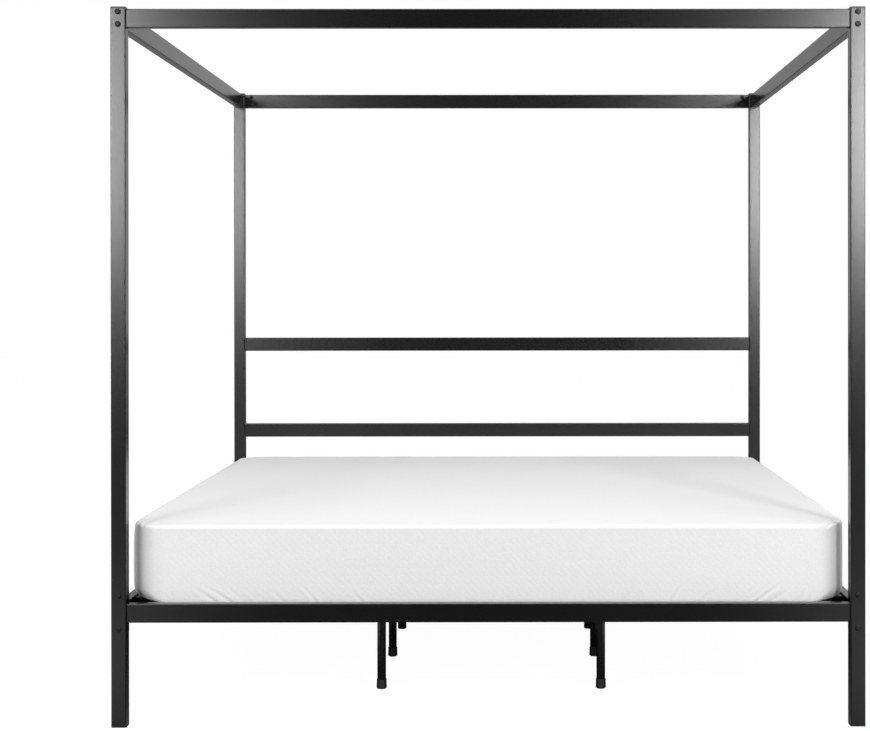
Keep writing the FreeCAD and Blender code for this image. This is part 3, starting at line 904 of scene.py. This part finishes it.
@dataclass(frozen=True)
class Crease:
    """One pulled crease in a wall of the sheet, from the wall's foot upward."""

    start: Pair
    end: Pair
    depth: float = 0.0012
    width: float = 0.0036
    reach: float = 1.12
    fade_power: float = 0.9
    shoulder_rise: float = 0.5
    shoulder_gap: float = 2.3
    shoulder_width: float = 1.3

    def rise(self, along: np.ndarray, up: np.ndarray) -> np.ndarray:
        """Give how far the crease moves each point outward.

        Args:
            along: the points' places along the wall.
            up: the points' heights.

        Returns:
            The moves in metres, negative in the groove.
        """
        run_along, run_up = self.end[0] - self.start[0], self.end[1] - self.start[1]
        length = math.hypot(run_along, run_up)
        part = ((along - self.start[0]) * run_along + (up - self.start[1]) * run_up) / length**2
        off = ((along - self.start[0]) * run_up - (up - self.start[1]) * run_along) / length
        lead_in = np.clip(1.5 + part * 2, 0.0, 1.0)
        fade = np.clip(self.reach - part, 0.0, 1.0) ** self.fade_power * lead_in
        groove = np.exp(-((off / self.width) ** 2))
        past_crest = np.abs(off) - self.shoulder_gap * self.width
        shoulder = np.exp(-((past_crest / (self.shoulder_width * self.width)) ** 2))
        return self.depth * fade * (self.shoulder_rise * shoulder - groove)


@dataclass
class SheetFit:
    """How the bedding sits: its slack top, its swelling walls and its pulled creases."""

    low: Vector
    high: Vector
    top_slack: float = 0.0002
    foot_slack: float = 0.0042
    head_slack: float = 0.0020
    foot_corner_slack: float = 0.0014
    head_corner_slack: float = 0.0030
    foot_reach: float = 0.18
    head_reach: float = 0.12
    side_reach: float = 0.12
    swell_left: float = 0.0054
    swell_right: float = 0.0008
    swell_foot: float = 0.0003
    swell_head: float = 0.0012
    swell_reach: float = 0.12
    wall_reach: float = 0.02
    crease_start: float = 0.002
    crease_tops: Pair = (0.030, 0.065)
    crease_leans: Pair = (0.025, 0.07)
    crease_depths: Pair = (0.0006, 0.0016)
    creases_per_wall: int = 12
    seed: int = 11
    foot_creases: tuple[Crease, ...] = (
        Crease((-0.727, 0.3217), (-0.780, 0.3588), 0.0016),
        Crease((-0.686, 0.3217), (-0.749, 0.3628), 0.0016),
        Crease((-0.647, 0.3217), (-0.698, 0.3628), 0.0007),
        Crease((-0.633, 0.3217), (-0.676, 0.3560), 0.0006),
        Crease((-0.545, 0.3217), (-0.580, 0.3550), 0.0011),
        Crease((-0.459, 0.3217), (-0.498, 0.3666), 0.0014),
        Crease((-0.334, 0.3199), (-0.369, 0.3550), 0.0012),
        Crease((0.361, 0.3249), (0.412, 0.3950), 0.0008, 0.0045),
        Crease((0.490, 0.3292), (0.536, 0.3959), 0.0011, 0.0042),
        Crease((0.565, 0.3249), (0.599, 0.3540), 0.0012),
        Crease((0.685, 0.3425), (0.736, 0.3800), 0.0006, 0.0028),
        Crease((0.700, 0.3300), (0.750, 0.3720), 0.0006, 0.0028),
        Crease((0.7197, 0.3270), (0.799, 0.3874), 0.0016),
        Crease((0.7613, 0.3292), (0.799, 0.3540), 0.0012),
        Crease((0.832, 0.3330), (0.853, 0.3620), 0.0010),
        Crease((0.857, 0.3290), (0.870, 0.3580), 0.0010),
    )
    corner_creases: tuple[Crease, ...] = (
        Crease((0.908, -0.990), (0.958, -0.912), 0.0060, 0.0050),
        Crease((0.938, -0.940), (0.936, -0.800), 0.0016, 0.0080),
        Crease((-0.932, -0.990), (-0.914, -0.890), 0.0026, 0.0055),
        Crease((-0.916, -0.920), (-0.900, -0.780), 0.0014, 0.0085),
    )

    def seeded_creases(self, half_length: float, seed: int) -> list[Crease]:
        """Lay creases along a wall that lean out to its corners.

        Args:
            half_length: half of the wall's length.
            seed: picks the pattern.

        Returns:
            The creases.
        """
        pick = random.Random(seed)
        creases = []
        for index in range(self.creases_per_wall):
            along = half_length * (-0.9 + 1.8 * (index + pick.uniform(0.1, 0.9)) / self.creases_per_wall)
            lean = math.copysign(pick.uniform(*self.crease_leans), along)
            top = self.low.z + pick.uniform(*self.crease_tops)
            start = (along, self.low.z + self.crease_start)
            creases.append(Crease(start, (along + lean, top), pick.uniform(*self.crease_depths)))
        return creases

    def slack(self, x: np.ndarray, y: np.ndarray) -> np.ndarray:
        """Give how far the top lies under the design's top.

        Args:
            x: the points' places across.
            y: the points' places along.

        Returns:
            The drops in metres.
        """
        near_foot = np.clip(1 - (y - self.low.y) / self.foot_reach, 0.0, 1.0) ** 2
        near_head = np.clip(1 - (self.high.y - y) / self.head_reach, 0.0, 1.0) ** 2
        to_side = np.minimum(x - self.low.x, self.high.x - x)
        near_side = np.clip(1 - to_side / self.side_reach, 0.0, 1.0) ** 2
        drop = self.top_slack + self.foot_slack * near_foot + self.head_slack * near_head
        return drop + near_side * (self.foot_corner_slack * near_foot + self.head_corner_slack * near_head)

    def wall_creases(self, wall: Wall) -> tuple[Crease, ...]:
        """Pick the creases of one wall.

        Args:
            wall: the wall.

        Returns:
            Its creases: laid one by one on the foot wall, and seeded on the others.
        """
        if wall is Wall.FOOT:
            return self.foot_creases
        half_length = (self.high.x - self.low.x) / 2 if wall is Wall.HEAD else (self.high.y - self.low.y) / 2
        return tuple(self.seeded_creases(half_length, self.seed + list(Wall).index(wall)))

    def shape(self, mesh: bpy.types.Mesh, creased: bool) -> None:
        """Move a mesh's points into the sheet's real shape.

        Args:
            mesh: the mesh, still a plain rounded block.
            creased: whether the creases are pressed in.
        """
        points = read_points(mesh)
        height = self.high.z - self.low.z
        share = np.clip((points[:, 2] - self.low.z) / height, 0.0, 1.0)
        x, y, z = points[:, 0].copy(), points[:, 1].copy(), points[:, 2].copy()
        points[:, 2] -= self.slack(x, y) * share
        belly = 1 - (2 * share - 1) ** 4
        upright = np.clip(share * 60, 0.0, 1.0) * (share < 0.9)
        walls = (
            (Wall.LEFT, self.swell_left, x - self.low.x),
            (Wall.RIGHT, self.swell_right, self.high.x - x),
            (Wall.FOOT, self.swell_foot, y - self.low.y),
            (Wall.HEAD, self.swell_head, self.high.y - y),
        )
        for wall, swell, gap in walls:
            near = np.clip(1 - gap / self.swell_reach, 0.0, 1.0)
            outward = swell * belly * near * near * (3 - 2 * near)
            if creased:
                along = x if wall in (Wall.FOOT, Wall.HEAD) else y
                on_wall = np.clip(1.5 - gap / self.wall_reach, 0.0, 1.0) * upright
                for crease in self.wall_creases(wall):
                    outward = outward + crease.rise(along, z) * on_wall
            points[:, 0] += wall.value[0] * outward
            points[:, 1] += wall.value[1] * outward
        if creased:
            for crease in self.corner_creases:
                points[:, 2] += crease.rise(x, y) * np.clip((share - 0.95) * 40, 0.0, 1.0)
        write_points(mesh, points)


@dataclass
class Swelling:
    """Cloth simulation of the filled mattress: its skin swells a little under the filling's pressure."""

    pressure: float = 4.0
    frames: int = 20
    most_move: float = 0.0024
    rests_below: float = 0.012
    neighbours: int = 4
    nearest_gap: float = 0.004
    start: np.ndarray | None = None
    moves: np.ndarray | None = None

    def run(self, made: bpy.types.Object) -> None:
        """Simulate the swelling and keep how each point moves.

        Args:
            made: the closed skin, which is left as it was.
        """
        self.start = read_points(made.data)
        lowest = float(self.start[:, 2].min())
        resting = made.vertex_groups.new(name="resting")
        lowest_points = np.flatnonzero(self.start[:, 2] < lowest + self.rests_below)
        resting.add(lowest_points.tolist(), 1.0, "REPLACE")
        cloth = made.modifiers.new("swelling", "CLOTH")
        cloth.settings.use_pressure = True
        cloth.settings.uniform_pressure_force = self.pressure
        cloth.settings.vertex_group_mass = resting.name
        cloth.settings.effector_weights.gravity = 0.0
        cloth.point_cache.frame_start = 1
        cloth.point_cache.frame_end = self.frames
        for step in range(1, self.frames + 1):
            bpy.context.scene.frame_set(step)
        evaluated = made.evaluated_get(bpy.context.evaluated_depsgraph_get())
        swollen = evaluated.to_mesh()
        self.moves = read_points(swollen) - self.start
        evaluated.to_mesh_clear()
        made.modifiers.remove(cloth)
        made.vertex_groups.remove(resting)
        bpy.context.scene.frame_set(1)
        farthest = float(np.linalg.norm(self.moves, axis=1).max())
        LOG.info("mattress swelled by up to %.1f mm before it was held back", farthest * 1000)
        self.moves *= min(1.0, self.most_move / max(farthest, 1e-9))

    def follow(self, mesh: bpy.types.Mesh) -> None:
        """Move a mesh's points as the simulated skin near them moved.

        Args:
            mesh: the mesh to move.
        """
        if self.moves is None or self.start is None:
            return
        tree = KDTree(len(self.start))
        for index, point in enumerate(self.start):
            tree.insert(point, index)
        tree.balance()
        points = read_points(mesh)
        for index, point in enumerate(points):
            found = tree.find_n(point, self.neighbours)
            weights = np.array([1.0 / (gap + self.nearest_gap) ** 2 for _, _, gap in found])
            nearby = self.moves[[number for _, number, _ in found]]
            points[index] += (nearby * weights[:, None]).sum(0) / weights.sum()
        write_points(mesh, points)


def read_points(mesh: bpy.types.Mesh) -> np.ndarray:
    """Read a mesh's points.

    Args:
        mesh: the mesh.

    Returns:
        The points, as rows of X, Y and Z.
    """
    flat = np.empty(len(mesh.vertices) * 3)
    mesh.vertices.foreach_get("co", flat)
    return flat.reshape(-1, 3)


def write_points(mesh: bpy.types.Mesh, points: np.ndarray) -> None:
    """Write a mesh's points back."""
    mesh.vertices.foreach_set("co", points.ravel())
    mesh.update()


def piece(
    name: str, mesh: bpy.types.Mesh, finish: bpy.types.Material, body: str
) -> bpy.types.Object:
    """Put a finished mesh in the scene, on its body.

    Args:
        name: the piece's name.
        mesh: its mesh.
        finish: its material.
        body: the design's body it moves with.

    Returns:
        The new object.
    """
    made = bpy.data.objects.new(name, mesh)
    bpy.context.scene.collection.objects.link(made)
    mesh.materials.clear()
    mesh.materials.append(finish)
    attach(made, body)
    LOG.info("built %s with %d faces", name, len(mesh.polygons))
    return made


@dataclass
class Bedding:
    """Mattress and fitted sheet."""

    body: str = "mattress"
    corner: float = 0.098
    sheet_edges: EdgeRadii = EdgeRadii(0.009, 0.006, 0.031, 0.038)
    pad_edges: EdgeRadii = EdgeRadii(0.012, 0.012, 0.033, 0.040)
    turn_under: float = 0.140
    edge_saving: float = 0.03
    sheet_cells: tuple[float, float, float] = (0.0026, 0.005, 0.0042)
    sheet_stride: tuple[int, int] = (8, 4)
    pad_ease: float = 0.0020
    pad_cells: tuple[float, float, float] = (0.04, 0.04, 0.03)
    pad_turn_under: float = 0.06
    pad_rim: float = 0.03
    hem_width: float = 0.012
    hem_thickness: float = 0.0009
    hem_gap: float = 0.0001
    gather_length: float = 0.014
    gather_depth: float = 0.0012

    def build_mattress(self, fit: SheetFit, swelling: Swelling) -> bpy.types.Object:
        """Build the mattress that fills the sheet.

        Args:
            fit: how the bedding sits.
            swelling: the simulation to run on it.

        Returns:
            The mattress.
        """
        low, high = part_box("mattress")
        ease = Vector((self.pad_ease, self.pad_ease, 0.0))
        plan = RoundedPlan(low + ease, high - ease, self.corner)
        edges, under, rim = self.pad_edges, self.pad_turn_under, self.pad_rim
        block = SoftBlock(plan, *self.pad_cells, (1, 1), edges, under, rim, closed=True)
        mesh = block.mesh("mattress_pad")
        fit.shape(mesh, creased=False)
        ticking = TickingCloth("quilted_ticking").material()
        made = piece("mattress_pad", mesh, ticking, self.body)
        swelling.run(made)
        swelling.follow(mesh)
        made.modifiers.new("smoothing", "SUBSURF").levels = 1
        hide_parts("mattress")
        return made

    def build_hem(self, plan: RoundedPlan, cloth: bpy.types.Material) -> bpy.types.Object:
        """Build the gathered elastic hem round the sheet's opening.

        Args:
            plan: the sheet's outline.
            cloth: the sheet's material.

        Returns:
            The hem.
        """
        half_x, half_y = (plan.high.x - plan.low.x) / 2, (plan.high.y - plan.low.y) / 2
        step = self.gather_length / 4
        us = np.linspace(-1, 1, max(4, round(2 * half_x / step)))
        vs = np.linspace(-1, 1, max(4, round(2 * half_y / step)))
        edge = [(u, -1.0) for u in us[:-1]] + [(1.0, v) for v in vs[:-1]]
        edge += [(u, 1.0) for u in us[:0:-1]] + [(-1.0, v) for v in vs[:0:-1]]
        section = ((0.0, 0.0), (1.0, 0.0), (1.0, 1.0), (0.0, 1.0))
        points, faces = [], []
        for index, (u, v) in enumerate(edge):
            gather = math.sin(index * math.pi / 2)
            for across, up in section:
                width = self.hem_width + self.gather_depth * gather
                inset = self.turn_under - self.hem_width / 2 + across * width
                points.append((*plan.spot(u, v, inset), plan.low.z - self.hem_gap + up * self.hem_thickness))
        for index in range(len(edge)):
            here, there = index * 4, (index + 1) % len(edge) * 4
            for side in range(4):
                after = (side + 1) % 4
                faces.append((here + side, here + after, there + after, there + side))
        mesh = bpy.data.meshes.new("sheet_hem_elastic")
        mesh.from_pydata(points, [], faces)
        mesh.update()
        return piece("sheet_hem_elastic", mesh, cloth, self.body)

    def build_sheet(self, fit: SheetFit, swelling: Swelling) -> bpy.types.Object:
        """Build the fitted sheet over the mattress.

        Args:
            fit: how the bedding sits.
            swelling: the mattress's simulated swelling.

        Returns:
            The sheet.
        """
        low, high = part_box("fitted_sheet")
        plan = RoundedPlan(low, high, self.corner)
        block = SoftBlock(plan, *self.sheet_cells, self.sheet_stride, self.sheet_edges, self.turn_under)
        mesh = block.mesh("fitted_sheet_cloth")
        fit.shape(mesh, creased=True)
        swelling.follow(mesh)
        cloth = JerseyCloth("white_jersey").material()
        made = piece("fitted_sheet_cloth", mesh, cloth, self.body)
        hem = self.build_hem(plan, cloth)
        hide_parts("fitted_sheet")
        return made

    def build(self) -> None:
        """Build all the bedding."""
        fit = SheetFit(*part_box("fitted_sheet"))
        swelling = Swelling()
        mattress = self.build_mattress(fit, swelling)
        self.build_sheet(fit, swelling)


def main() -> None:
    """Build the studio, dress the frame and make the bedding."""
    logging.basicConfig(level=logging.INFO, format="%(name)s: %(message)s")
    Studio().build()
    SteelFrame().dress()
    Bedding().build()


if __name__ == "__main__":
    main()
